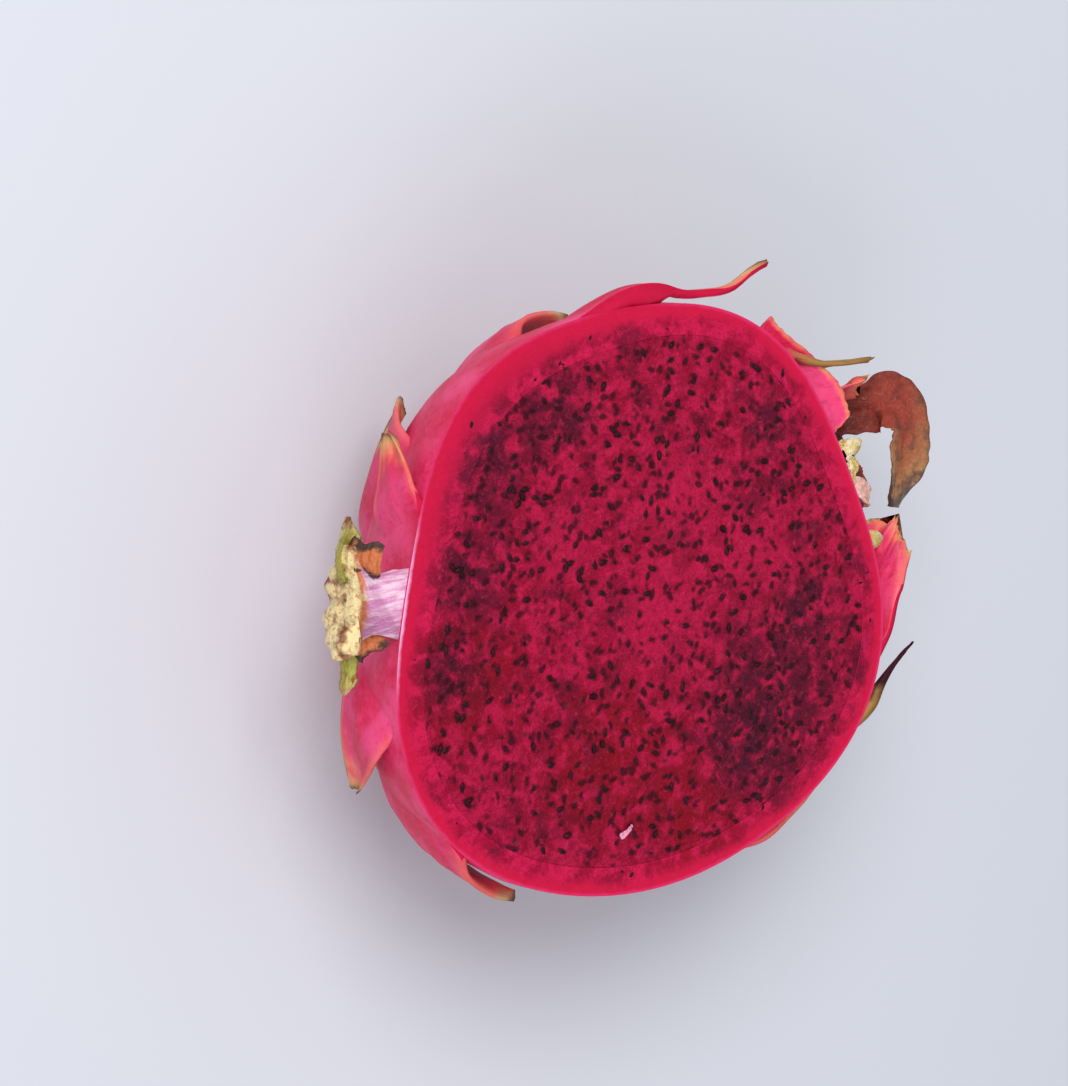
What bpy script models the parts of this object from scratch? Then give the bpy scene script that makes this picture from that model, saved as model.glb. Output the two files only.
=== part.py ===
"""Half a dragon fruit, cut along its length, lying on its rind with the cut face up.

Metres, +Z up. The origin is the middle of the small flat spot that the half rests on.
+X runs from the stem end to the flower end, and the cut face is level.

A place on the skin is given by two numbers: along, from 0 at the stem to 1 at the flower,
and around, in degrees from straight down, so the knife passes at -90 and +90.
"""

import math
import random
from collections import namedtuple

import bmesh
import bpy
from mathutils import Matrix, Vector

MM = 0.001

# The body of the fruit
MEAN_RADIUS = 46.4 * MM
DEPTH = 44.5 * MM
FLAT_SPOT_CUT = 1.0 * MM
FACE_HEIGHT = DEPTH - FLAT_SPOT_CUT
AXIS_SHIFT = 0.18
# Waves of the cut outline: how many round it, then the cosine and sine shares of the radius
OUTLINE_WAVES = (
    (1, 0.000, -0.024),
    (2, 0.009, 0.012),
    (3, 0.003, -0.034),
    (4, -0.021, 0.000),
    (5, 0.000, -0.018),
)
SKIN_SEGMENTS = 52
SKIN_RINGS = 26
PULP_SEGMENTS = 40
PULP_RINGS = 20

# The rind is thicker towards the stem on one side
WALL = 4.4 * MM
WALL_SWELL = 2.8 * MM
WALL_SWELL_ANGLE = math.radians(128)
WALL_SWELL_TIGHTNESS = 4
GAP = 0.3 * MM

# A bract: a broad leafy scale that grows out of the rind and points at the flower end. Its
# root swells out of the skin, and from the free share of its length on it is a thin blade.
BRACT_ROWS = 7
BRACT_COLUMNS = 5
BRACT_MOUND = 2.2 * MM
BRACT_MOUND_SHARE = 0.45
BRACT_ROOT_DEPTH = 0.8 * MM
BRACT_ROOT_THICKNESS = 3.8 * MM
BRACT_TIP_THICKNESS = 0.9 * MM
BRACT_FREE_FROM = 0.36
BRACT_THIN_FROM = 0.30
BRACT_THIN_SHARE = 0.12
BRACT_TUCK_FROM = 0.12
BRACT_TUCK_SHARE = 0.40
BRACT_TAPER = 1.7
BRACT_RIPPLE = 0.5 * MM
BRACT_LEAN = 0.16
WHOLE_TIP_SHARE = 0.10
# Near the flower end the skin's girth shrinks to nothing, so a bract's width is laid off on
# the girth here, or on this share of the radius at least
LAST_GIRTH = 0.94
LEAST_GIRTH_SHARE = 0.25
# Rings of bracts: along, length, width and flare in mm, then their places around
BRACT_RINGS = (
    (0.090, 17, 17, 2.4, (-58, 8, 66)),
    (0.175, 26, 27, 2.2, (-66, -20, 38)),
    (0.345, 34, 34, 3.0, (-52, 6, 62)),
    (0.520, 32, 33, 3.0, (-68, -20, 36)),
    (0.670, 26, 26, 4.0, (-48, 6, 62)),
    (0.800, 19, 18, 5.0, (-6,)),
)
RING_WANDER = 0.012
RING_SWING = 3
RING_SIZES = (0.94, 1.08)
# Bracts that the knife went through or passed close by: along, around, length, width and flare,
# then the width left at the tip as a share, which is large where the tip is torn off
CUT_BRACTS = (
    (0.430, 89, 38.3, 9, 9.0, 0.35),
    (0.752, -90, 15.3, 7, 5.0, 0.30),
    (0.790, 55, 17, 16, 10.0, 0.80),
    (0.785, -70, 24, 18, 8.5, 0.45),
    (0.728, 84, 22, 5, 12.5, 0.35),
)
BRACT_SEED = 11
# The first of them was sliced lengthwise: its height over the skin in mm, from root to tip
SLICED_LIFTS = (-0.8, 0.4, 1.8, 3.0, 3.1, 2.0, 2.5, 4.3, 10.0)
SLICED_THIN_FROM = 0.46
# Two bracts near the flower are strips: a long one that withered, bent over and hangs down, and
# a torn one that stands out level under the face. Each has its width in mm, then points (out
# along the fruit, up the face, below the face) in mm from the middle of the face
STRIP_BRACTS = (
    (
        8.0,
        (
            (36.8, 17.0, -16.0),
            (44.0, 18.5, -17.0),
            (50.0, 19.5, -14.5),
            (54.5, 20.0, -11.5),
            (58.5, 20.5, -9.0),
            (61.3, 17.0, -7.5),
            (60.5, 10.5, -8.0),
            (58.8, 3.0, -9.0),
        ),
    ),
    (
        6.5,
        (
            (29.5, 36.0, -3.6),
            (35.0, 31.0, -2.9),
            (40.3, 24.4, -2.7),
            (43.2, 19.0, -2.9),
        ),
    ),
)
STRIP_BRACT_SEED = 3
DRY_THICKNESS = 1.1 * MM

# The stem stub: a short ridged neck that widens to a torn scar. Radius and height in mm.
STUB_PROFILE = (
    (5.2, -1.6),
    (5.0, 0.6),
    (4.4, 2.6),
    (4.5, 5.4),
    (7.6, 7.8),
    (8.2, 9.4),
    (6.6, 9.8),
    (4.0, 8.6),
)
STUB_NECK_TOP = 5.4 * MM
STUB_RIM_HEIGHT = 9.4 * MM
STUB_STEPS = 28
STUB_RIDGES = 7
STUB_RIDGE_HEIGHT = 0.35 * MM
STUB_TEAR = 0.9 * MM
STUB_SEED = 5
# Small scales left on the scar: width in mm, then points as for the dry bract
STUB_SCALES = (
    (6.0, ((-50.8, 12.5, -3.0), (-50.5, 17.0, -3.2), (-49.0, 21.5, -3.6))),
    (3.6, ((-51.6, 3.5, -4.0), (-51.8, -0.6, -5.0), (-52.0, -4.5, -6.0))),
)
STUB_SCALE_THICKNESS = 1.2 * MM

# The withered flower: a dry ring with torn teeth and a few long dry sepals
SCAR_PROFILE = (
    (8.8, -1.4),
    (9.4, 1.2),
    (8.6, 3.2),
    (7.0, 2.6),
    (6.2, 0.6),
    (6.0, -1.4),
)
SCAR_STEPS = 30
SCAR_TEAR = 0.8 * MM
SCAR_TEAR_HEIGHT = 2 * MM
SCAR_SEED = 8

# A torn edge is a sum of sine waves, so many round it, each weaker than the one before
TEAR_WAVES = (3, 5, 8, 13)
TEAR_FADE = 0.3

# The sockets in the rind that the stub and the ring sit in
SOCKET_DEPTH = 1.9 * MM
SOCKET_LENGTH = 22 * MM
SOCKET_SIDES = 32
STUB_SOCKET_RADIUS = 5.6 * MM
SCAR_SOCKET_RADIUS = 9.8 * MM

# Dry sepals: width in mm, then points as for the dry bract
SEPALS = (
    (4.2, ((45.5, 4.5, -6.5), (51, 6.6, -8.8), (56, 8, -14), (59, 11, -19))),
    (3.4, ((45.2, 9.5, -8.2), (50.5, 10.5, -12.5), (54.5, 13.5, -17), (57, 18, -20))),
)
SEPAL_SEED = 3

# A dry strip, such as a sepal: it twists, narrows towards its tip and rolls across its width
STRIP_COLUMNS = 2
STRIP_PIECES_PER_SPAN = 3
STRIP_FACING = (0.3, 0.1, 1)
STRIP_TWIST = 0.9
STRIP_NARROWS_FROM = 0.7
STRIP_TIP_SHARE = 0.25
STRIP_UNEVENNESS = 0.16
STRIP_UNEVEN_WAVES = 9
STRIP_ROLL = 0.22

# Seeds: small flat drops, half sunk in the cut face of the pulp
SEED_COUNT = 240
SEED_LENGTH = (1.5 * MM, 2.1 * MM)
SEED_SLIMNESS = 0.62
SEED_RISE = 0.55 * MM
SEED_SINK = 0.12 * MM
SEED_SHIFT = 0.9 * MM
SEED_EDGE = 0.96
GOLDEN_ANGLE = math.pi * (3 - math.sqrt(5))
SEED_SIDES = 5
SEED_SEED = 21

WELD_DISTANCE = 0.00001
CUTTER_SIZE = 0.3

Bract = namedtuple("Bract", "along around length width flare tip_share lean_aside ripple")


def clear_scene():
    for obj in list(bpy.data.objects):
        bpy.data.objects.remove(obj, do_unlink=True)


def new_collection(name):
    collection = bpy.data.collections.new(name)
    bpy.context.scene.collection.children.link(collection)
    return collection


def material(name, colour, roughness):
    made = bpy.data.materials.new(name)
    made.use_nodes = True
    shader = made.node_tree.nodes["Principled BSDF"]
    shader.inputs["Base Color"].default_value = (*colour, 1)
    shader.inputs["Roughness"].default_value = roughness
    shader.inputs["Metallic"].default_value = 0
    made.diffuse_color = (*colour, 1)
    return made


def new_object(name, bm, collection):
    bmesh.ops.recalc_face_normals(bm, faces=bm.faces)
    mesh = bpy.data.meshes.new(name)
    bm.to_mesh(mesh)
    bm.free()
    obj = bpy.data.objects.new(name, mesh)
    collection.objects.link(obj)
    return obj


def smoothstep(value):
    held = min(max(value, 0), 1)
    return held * held * (3 - 2 * held)


def lean(direction):
    """Moves the stem and flower ends off the middle of the outline."""
    return (direction + Vector((0, AXIS_SHIFT * direction.x**2, 0))).normalized()


def skin_direction(along, around):
    """The way from the middle of the face to a place on the skin."""
    turn = math.pi * along
    side = math.radians(around)
    ring = math.sin(turn)
    return lean(Vector((-math.cos(turn), ring * math.sin(side), -ring * math.cos(side))))


def surface(direction, inset=0.0):
    """The point of the fruit's body in this direction, so far in from the skin."""
    turn = math.atan2(direction.y, direction.x)
    level = math.hypot(direction.x, direction.y)
    share = 1
    for count, cosine, sine in OUTLINE_WAVES:
        wave = cosine * math.cos(count * turn) + sine * math.sin(count * turn)
        share += wave * level**count
    radius = MEAN_RADIUS * share - inset
    depth = radius * (DEPTH - inset) / (MEAN_RADIUS - inset)
    return Vector((radius * direction.x, radius * direction.y, FACE_HEIGHT + depth * direction.z))


def wall_thickness(direction):
    off = math.atan2(direction.y, direction.x) - WALL_SWELL_ANGLE
    level = math.hypot(direction.x, direction.y)
    return WALL + WALL_SWELL * level**2 * math.exp(WALL_SWELL_TIGHTNESS * (math.cos(off) - 1))


def body(name, segments, rings, collection, inset_of):
    """A sphere with its poles at the stem and the flower, drawn out to the skin or to an inset."""
    bm = bmesh.new()
    poles_on_x = Matrix.Rotation(math.radians(90), 4, "Y")
    bmesh.ops.create_uvsphere(bm, u_segments=segments, v_segments=rings, radius=1, matrix=poles_on_x)
    for vert in bm.verts:
        direction = lean(vert.co)
        vert.co = surface(direction, inset_of(direction))
    return new_object(name, bm, collection)


def box_cutter(name, low_z, high_z, collection):
    bm = bmesh.new()
    middle = Matrix.Translation((0, 0, (low_z + high_z) / 2))
    size = Matrix.Diagonal((CUTTER_SIZE, CUTTER_SIZE, high_z - low_z, 1))
    bmesh.ops.create_cube(bm, size=1, matrix=middle @ size)
    return new_object(name, bm, collection)


def end_stand(along):
    """The matrix that stands a turned piece on the stem end (0) or the flower end (1)."""
    axis = skin_direction(along, 0)
    return Matrix.Translation(surface(axis)) @ axis.to_track_quat("Z", "Y").to_matrix().to_4x4()


def socket_cutter(name, along, radius, collection):
    """A round hole from a little under the skin outwards, which a dry end piece sits in."""
    bm = bmesh.new()
    middle = Matrix.Translation((0, 0, SOCKET_LENGTH / 2 - SOCKET_DEPTH))
    bmesh.ops.create_cone(
        bm,
        cap_ends=True,
        segments=SOCKET_SIDES,
        radius1=radius,
        radius2=radius,
        depth=SOCKET_LENGTH,
        matrix=end_stand(along) @ middle,
    )
    return new_object(name, bm, collection)


def boolean(obj, operation, other, solver="EXACT"):
    modifier = obj.modifiers.new(other.name, "BOOLEAN")
    modifier.operation = operation
    modifier.solver = solver
    if isinstance(other, bpy.types.Collection):
        modifier.operand_type = "COLLECTION"
        modifier.collection = other
    else:
        modifier.object = other


def apply_modifiers(obj):
    """Swaps the mesh for the one that the modifiers make of it."""
    graph = bpy.context.evaluated_depsgraph_get()
    graph.update()
    made = bpy.data.meshes.new_from_object(obj.evaluated_get(graph))
    obj.modifiers.clear()
    obj.data = made


def join_repeats(obj, repeats):
    """One union on a collection, after which its objects are removed."""
    boolean(obj, "UNION", repeats, "MANIFOLD")
    apply_modifiers(obj)
    for piece in list(repeats.objects):
        bpy.data.objects.remove(piece, do_unlink=True)
    bpy.data.collections.remove(repeats)


def drop_scraps(obj):
    """Keeps only the largest piece of a mesh, where a cut left small loose bits."""
    bm = bmesh.new()
    bm.from_mesh(obj.data)
    waiting = set(bm.verts)
    pieces = []
    while waiting:
        piece = set()
        reached = [waiting.pop()]
        while reached:
            vert = reached.pop()
            piece.add(vert)
            for edge in vert.link_edges:
                other = edge.other_vert(vert)
                if other in waiting:
                    waiting.remove(other)
                    reached.append(other)
        pieces.append(piece)
    largest = max(pieces, key=len)
    scraps = [vert for piece in pieces if piece is not largest for vert in piece]
    bmesh.ops.delete(bm, geom=scraps, context="VERTS")
    bm.to_mesh(obj.data)
    bm.free()


def sheet(name, rows, columns, place, collection):
    """A grid laid out by place(share along, share across from -1 to 1), in triangles."""
    bm = bmesh.new()
    bmesh.ops.create_grid(bm, x_segments=rows, y_segments=columns, size=1)
    for vert in bm.verts:
        vert.co = place((vert.co.x + 1) / 2, -vert.co.y)
    bmesh.ops.triangulate(bm, faces=bm.faces)
    mesh = bpy.data.meshes.new(name)
    bm.to_mesh(mesh)
    bm.free()
    obj = bpy.data.objects.new(name, mesh)
    collection.objects.link(obj)
    return obj


def solidify(obj, thickness, offset, shares=None):
    """Gives an open sheet its thickness, times each point's share where there are shares."""
    modifier = obj.modifiers.new("thickness", "SOLIDIFY")
    modifier.thickness = thickness
    modifier.offset = offset
    if shares:
        group = obj.vertex_groups.new(name="thickness")
        for index, share in enumerate(shares):
            group.add([index], share, "REPLACE")
        modifier.vertex_group = group.name
    apply_modifiers(obj)


def bract_direction(bract, s, across):
    """The way to a bract's point, by its shares along and across the bract."""
    at = bract.along + s * bract.length / (math.pi * MEAN_RADIUS)
    half_width = bract.width / 2 * (1 - (1 - bract.tip_share) * s**BRACT_TAPER)
    girth = MEAN_RADIUS * max(math.sin(math.pi * min(at, LAST_GIRTH)), LEAST_GIRTH_SHARE)
    sideways = across * half_width + bract.lean_aside * bract.width * s * s
    return skin_direction(at, bract.around + math.degrees(sideways / girth))


def bract_lift(bract, s, across):
    """How far a point of the outer side stands off the skin. The sides of the root are tucked in."""
    mound = (BRACT_MOUND + BRACT_ROOT_DEPTH) * smoothstep(s / BRACT_MOUND_SHARE)
    tucked = 1 - smoothstep((s - BRACT_TUCK_FROM) / BRACT_TUCK_SHARE)
    free = max(0, (s - BRACT_FREE_FROM) / (1 - BRACT_FREE_FROM))
    ripple = BRACT_RIPPLE * math.sin(bract.ripple + 5 * s + 3 * across) * free
    return mound * (1 - tucked * across**4) - BRACT_ROOT_DEPTH + bract.flare * free**2 + ripple


def sliced_lift(s):
    return smooth_path(SLICED_LIFTS, s) * MM


def bract_thickness(s, across, thin_from):
    """Deep at the root, and thin from where the blade comes free."""
    thin = smoothstep((s - thin_from) / BRACT_THIN_SHARE)
    root = BRACT_ROOT_THICKNESS * (1 - 0.4 * abs(across) ** 3)
    blade = BRACT_TIP_THICKNESS * (2.1 - 1.1 * s)
    return root * (1 - thin) + blade * thin


def add_bract(name, bract, collection, sliced):
    thin_from = SLICED_THIN_FROM if sliced else BRACT_THIN_FROM

    def place(s, across):
        direction = bract_direction(bract, s, across)
        lift = sliced_lift(s) if sliced else bract_lift(bract, s, across)
        return surface(direction) + direction * lift

    obj = sheet(name, BRACT_ROWS, BRACT_COLUMNS, place, collection)
    shares = []
    for column in range(BRACT_COLUMNS + 1):
        across = 2 * column / BRACT_COLUMNS - 1
        for row in range(BRACT_ROWS + 1):
            thickness = bract_thickness(row / BRACT_ROWS, across, thin_from)
            shares.append(thickness / BRACT_ROOT_THICKNESS)
    solidify(obj, BRACT_ROOT_THICKNESS, -1, shares)


def make_bracts(collection):
    draw = random.Random(BRACT_SEED)
    rows = list(CUT_BRACTS)
    for along, length, width, flare, places in BRACT_RINGS:
        for around in places:
            at = along + draw.uniform(-RING_WANDER, RING_WANDER)
            swung = around + draw.uniform(-RING_SWING, RING_SWING)
            size = draw.uniform(*RING_SIZES)
            rows.append((at, swung, length * size, width * size, flare, WHOLE_TIP_SHARE))
    for number, (along, around, length, width, flare, tip_share) in enumerate(rows, 1):
        lean_aside = draw.uniform(-BRACT_LEAN, BRACT_LEAN)
        ripple = draw.uniform(0, 2 * math.pi)
        sizes = (length * MM, width * MM, flare * MM)
        bract = Bract(along, around, *sizes, tip_share, lean_aside, ripple)
        add_bract(f"bract_{number}", bract, collection, number == 1)


def make_rind(parts, cutters):
    rind = body("rind", SKIN_SEGMENTS, SKIN_RINGS, parts, lambda direction: 0.0)
    bracts = new_collection("bracts")
    make_bracts(bracts)
    draw = random.Random(STRIP_BRACT_SEED)
    for number, (width, points) in enumerate(STRIP_BRACTS, 1):
        strip(f"strip_bract_{number}", points, width * MM, DRY_THICKNESS, draw, bracts)
    join_repeats(rind, bracts)
    rind.data.materials.append(material("rind_pink", (0.80, 0.10, 0.22), 0.45))
    hollow = body("hollow", PULP_SEGMENTS, PULP_RINGS, cutters, wall_thickness)
    stem_socket = socket_cutter("stem_socket", 0, STUB_SOCKET_RADIUS, cutters)
    scar_socket = socket_cutter("scar_socket", 1, SCAR_SOCKET_RADIUS, cutters)
    knife = bpy.data.objects["knife"]
    floor = bpy.data.objects["floor"]
    for cutter in (knife, floor, hollow, stem_socket, scar_socket):
        boolean(rind, "DIFFERENCE", cutter, "MANIFOLD")
    apply_modifiers(rind)
    drop_scraps(rind)


def seed_places():
    """Seeds follow the sunflower rule, which spreads them evenly, and each is then moved a little."""
    draw = random.Random(SEED_SEED)
    for count in range(SEED_COUNT):
        share = SEED_EDGE * math.sqrt((count + 0.5) / SEED_COUNT)
        turn = count * GOLDEN_ANGLE
        direction = Vector((math.cos(turn), math.sin(turn), 0))
        edge = surface(direction, wall_thickness(direction) + GAP)
        across = edge.x * share + draw.uniform(-SEED_SHIFT, SEED_SHIFT)
        up = edge.y * share + draw.uniform(-SEED_SHIFT, SEED_SHIFT)
        middle = Vector((across, up, FACE_HEIGHT - SEED_SINK))
        yield middle, draw.uniform(0, math.pi), draw.uniform(*SEED_LENGTH)


def make_pulp(parts):
    pulp = body("pulp", PULP_SEGMENTS, PULP_RINGS, parts, lambda direction: wall_thickness(direction) + GAP)
    boolean(pulp, "DIFFERENCE", bpy.data.objects["knife"])
    apply_modifiers(pulp)
    pulp.data.materials.append(material("pulp_crimson", (0.38, 0.02, 0.08), 0.3))
    seeds = new_collection("seeds")
    bm = bmesh.new()
    for middle, turn, length in seed_places():
        stand = Matrix.Translation(middle) @ Matrix.Rotation(turn, 4, "Z")
        shape = Matrix.Diagonal((length / 2, length / 2 * SEED_SLIMNESS, SEED_RISE, 1))
        bmesh.ops.create_uvsphere(bm, u_segments=SEED_SIDES, v_segments=2, radius=1, matrix=stand @ shape)
    new_object("seed_scatter", bm, seeds)
    join_repeats(pulp, seeds)


def turned(name, profile, steps, collection):
    """A profile of (radius, height) in mm turned round +Z. Its ends may be left open."""
    bm = bmesh.new()
    verts = [bm.verts.new((radius * MM, 0, height * MM)) for radius, height in profile]
    for first, second in zip(verts, verts[1:]):
        bm.edges.new((first, second))
    mesh = bpy.data.meshes.new(name)
    bm.to_mesh(mesh)
    bm.free()
    obj = bpy.data.objects.new(name, mesh)
    collection.objects.link(obj)
    screw = obj.modifiers.new("turned", "SCREW")
    screw.axis = "Z"
    screw.steps = steps
    screw.render_steps = steps
    screw.use_merge_vertices = True
    screw.merge_threshold = WELD_DISTANCE
    apply_modifiers(obj)
    return obj


def reshape(obj, move):
    """Closes the open ends of a turned piece and moves each point by a rule."""
    bm = bmesh.new()
    bm.from_mesh(obj.data)
    bmesh.ops.remove_doubles(bm, verts=bm.verts, dist=WELD_DISTANCE)
    open_edges = [edge for edge in bm.edges if edge.is_boundary]
    bmesh.ops.holes_fill(bm, edges=open_edges, sides=0)
    for vert in bm.verts:
        vert.co = move(vert.co)
    bmesh.ops.triangulate(bm, faces=bm.faces)
    bmesh.ops.recalc_face_normals(bm, faces=bm.faces)
    bm.to_mesh(obj.data)
    bm.free()


def tear_at(turn, phases):
    """The height of a torn edge at this turn, from about -1 to 1."""
    total = 0
    for place, (count, phase) in enumerate(zip(TEAR_WAVES, phases)):
        total += math.sin(count * turn + phase) / (1 + TEAR_FADE * place)
    return total / 2


def draw_phases(draw):
    return [draw.uniform(0, 2 * math.pi) for _ in TEAR_WAVES]


def smooth_path(points, share):
    """A point on the smooth curve through the points."""
    spans = len(points) - 1
    span = min(int(share * spans), spans - 1)
    t = share * spans - span
    before = points[max(span - 1, 0)]
    start = points[span]
    end = points[span + 1]
    after = points[min(span + 2, spans)]
    bend = 2 * before - 5 * start + 4 * end - after
    turn = 3 * start - before - 3 * end + after
    return 0.5 * (2 * start + (end - before) * t + bend * t * t + turn * t**3)


def strip(name, points, width, thickness, draw, collection):
    """A dry strip along a curve through points given in mm from the middle of the cut face."""
    phase = draw.uniform(0, 2 * math.pi)
    twist = draw.uniform(-STRIP_TWIST, STRIP_TWIST)
    pieces = STRIP_PIECES_PER_SPAN * (len(points) - 1)
    path = [Vector(point) * MM + Vector((0, 0, FACE_HEIGHT)) for point in points]

    def place(s, across):
        here = smooth_path(path, s)
        run = (smooth_path(path, min(s + 0.02, 1)) - smooth_path(path, max(s - 0.02, 0))).normalized()
        flat = run.cross(Vector(STRIP_FACING)).normalized()
        flat = Matrix.Rotation(twist * s * s, 3, run) @ flat
        tip = smoothstep((s - STRIP_NARROWS_FROM) / (1 - STRIP_NARROWS_FROM))
        narrowing = 1 - (1 - STRIP_TIP_SHARE) * tip
        uneven = 1 + STRIP_UNEVENNESS * math.sin(STRIP_UNEVEN_WAVES * s + phase)
        sideways = across * width / 2 * narrowing * uneven
        rolled = -STRIP_ROLL * width * across * across * narrowing
        return here + flat * sideways + run.cross(flat) * rolled

    obj = sheet(name, pieces, STRIP_COLUMNS, place, collection)
    solidify(obj, thickness, 0)


def make_stem_stub(parts):
    stub = turned("stem_stub", STUB_PROFILE, STUB_STEPS, parts)
    stand = end_stand(0)
    draw = random.Random(STUB_SEED)
    phases = draw_phases(draw)

    def move(point):
        turn = math.atan2(point.y, point.x)
        radius = math.hypot(point.x, point.y)
        near_rim = smoothstep((point.z - STUB_NECK_TOP) / (STUB_RIM_HEIGHT - STUB_NECK_TOP))
        torn = STUB_TEAR * tear_at(turn, phases) * near_rim
        ridge = 0
        if point.z > 0:
            ridge = STUB_RIDGE_HEIGHT * math.cos(STUB_RIDGES * turn) * (1 - near_rim)
        scale = (radius + ridge + torn) / radius if radius else 1
        return stand @ Vector((point.x * scale, point.y * scale, point.z + torn))

    reshape(stub, move)
    stub.data.materials.append(material("stub_cream", (0.80, 0.62, 0.42), 0.6))
    scales = new_collection("stub_scales")
    for number, (width, points) in enumerate(STUB_SCALES, 1):
        strip(f"stub_scale_{number}", points, width * MM, STUB_SCALE_THICKNESS, draw, scales)
    join_repeats(stub, scales)
    boolean(stub, "DIFFERENCE", bpy.data.objects["knife"])


def make_withered_flower(parts):
    closed_profile = (*SCAR_PROFILE, SCAR_PROFILE[0])
    flower = turned("withered_flower", closed_profile, SCAR_STEPS, parts)
    stand = end_stand(1)
    phases = draw_phases(random.Random(SCAR_SEED))

    def move(point):
        turn = math.atan2(point.y, point.x)
        torn = SCAR_TEAR * tear_at(turn, phases) * smoothstep(point.z / SCAR_TEAR_HEIGHT)
        return stand @ Vector((point.x, point.y, point.z + torn))

    reshape(flower, move)
    flower.data.materials.append(material("withered_brown", (0.33, 0.14, 0.07), 0.75))
    sepals = new_collection("sepals")
    draw = random.Random(SEPAL_SEED)
    for number, (width, points) in enumerate(SEPALS, 1):
        strip(f"sepal_{number}", points, width * MM, DRY_THICKNESS, draw, sepals)
    join_repeats(flower, sepals)
    boolean(flower, "DIFFERENCE", bpy.data.objects["knife"])


def main():
    clear_scene()
    parts = new_collection("dragon_fruit_half")
    cutters = new_collection("cutters")
    box_cutter("knife", FACE_HEIGHT, FACE_HEIGHT + CUTTER_SIZE, cutters)
    box_cutter("floor", -CUTTER_SIZE, 0, cutters)
    make_rind(parts, cutters)
    make_pulp(parts)
    make_stem_stub(parts)
    make_withered_flower(parts)
    for cutter in cutters.objects:
        cutter.hide_render = True
        cutter.display_type = "WIRE"
    for part in parts.objects:
        part.data.shade_smooth()


main()
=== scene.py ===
# %% [markdown]
# # Half a dragon fruit, cut side up
# The fruit was cut along its length and lies on its rind. What catches the eye is the wet,
# dark crimson pulp full of small black seeds, the brighter band of peel round it, and the
# leafy bracts outside. We load the solids of the model first, because every visible piece
# has to sit where its solid sits.

# %% Load the solids
import math
import random

import bmesh
import bpy
from mathutils import Matrix, Vector, noise
from mathutils.kdtree import KDTree


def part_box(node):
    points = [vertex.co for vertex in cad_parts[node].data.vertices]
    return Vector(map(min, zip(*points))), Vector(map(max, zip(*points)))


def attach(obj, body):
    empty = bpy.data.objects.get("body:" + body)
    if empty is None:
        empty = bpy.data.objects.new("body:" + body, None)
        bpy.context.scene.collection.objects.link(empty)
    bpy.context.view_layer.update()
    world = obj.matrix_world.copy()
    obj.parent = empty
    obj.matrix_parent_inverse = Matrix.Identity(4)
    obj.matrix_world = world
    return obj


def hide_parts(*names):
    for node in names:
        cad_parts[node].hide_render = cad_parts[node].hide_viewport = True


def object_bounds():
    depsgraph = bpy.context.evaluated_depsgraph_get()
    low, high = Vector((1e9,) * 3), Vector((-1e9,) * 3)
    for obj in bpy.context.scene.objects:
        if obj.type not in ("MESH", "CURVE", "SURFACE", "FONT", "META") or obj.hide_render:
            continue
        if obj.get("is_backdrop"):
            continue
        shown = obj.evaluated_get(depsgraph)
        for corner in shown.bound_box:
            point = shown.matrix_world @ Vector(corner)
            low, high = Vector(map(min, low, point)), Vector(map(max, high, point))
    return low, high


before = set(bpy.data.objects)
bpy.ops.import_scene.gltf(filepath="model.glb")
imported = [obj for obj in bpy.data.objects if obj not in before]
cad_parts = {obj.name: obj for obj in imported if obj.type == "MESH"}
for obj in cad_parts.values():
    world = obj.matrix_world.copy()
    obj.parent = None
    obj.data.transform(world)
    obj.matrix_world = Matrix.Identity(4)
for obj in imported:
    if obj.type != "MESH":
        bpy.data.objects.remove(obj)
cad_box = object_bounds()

MM = 0.001
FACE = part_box("rind")[1][2]
print("the cut face is", round(FACE / MM, 2), "mm above the table")

# %% [markdown]
# ## The camera
# The photo looks down on the cut face from the stem end, rolled so that the fruit's long axis
# runs across the picture. The picture is 1068 by 1086 pixels. We aim the camera itself rather
# than shifting its lens, so that views from other sides stay centred too.

# %% Place the camera
PICTURE = (1068, 1086)
SENSOR = 36.0
FOCAL_PIXELS = 2925
CAMERA_DISTANCE = 450 * MM
AIM_PIXEL = (640, 606)
AIM_POINT = Vector((-1.63 * MM, -0.97 * MM, FACE))
TOWARD_CAMERA = Vector((-0.5728, 0.1845, 0.7986)).normalized()
PICTURE_UP = Vector((0.1979, 0.9766, -0.0838)).normalized()


def add(name, data):
    """Puts a new object with this data into the scene."""
    obj = bpy.data.objects.new(name, data)
    bpy.context.scene.collection.objects.link(obj)
    return obj


def make_camera():
    right = PICTURE_UP.cross(TOWARD_CAMERA).normalized()
    aside = (PICTURE[0] / 2 - AIM_PIXEL[0]) / FOCAL_PIXELS
    above = (AIM_PIXEL[1] - PICTURE[1] / 2) / FOCAL_PIXELS
    forward = (-TOWARD_CAMERA + aside * right + above * PICTURE_UP).normalized()
    level_right = forward.cross(PICTURE_UP).normalized()
    up = level_right.cross(forward)
    place = AIM_POINT + TOWARD_CAMERA * CAMERA_DISTANCE
    data = bpy.data.cameras.new("camera")
    data.sensor_width = SENSOR
    data.lens = FOCAL_PIXELS * SENSOR / max(PICTURE)
    data.clip_start = 0.01
    camera = add("camera", data)
    turn = Matrix((level_right, up, -forward)).transposed()
    camera.matrix_world = Matrix.Translation(place) @ turn.to_4x4()
    bpy.context.scene.camera = camera
    return camera


camera = make_camera()
print("lens", round(camera.data.lens, 1), "mm at", CAMERA_DISTANCE / MM, "mm")

# %% [markdown]
# ## Floor and light
# The photo is a cut-out on a pale blue grey with even, soft light and no hard shadow. A wide
# floor of that grey, a bright sky on every side, a large soft lamp toward the top of the
# picture and a weaker one toward its foot give the same calm look, with just enough shade to
# show the relief.


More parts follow.
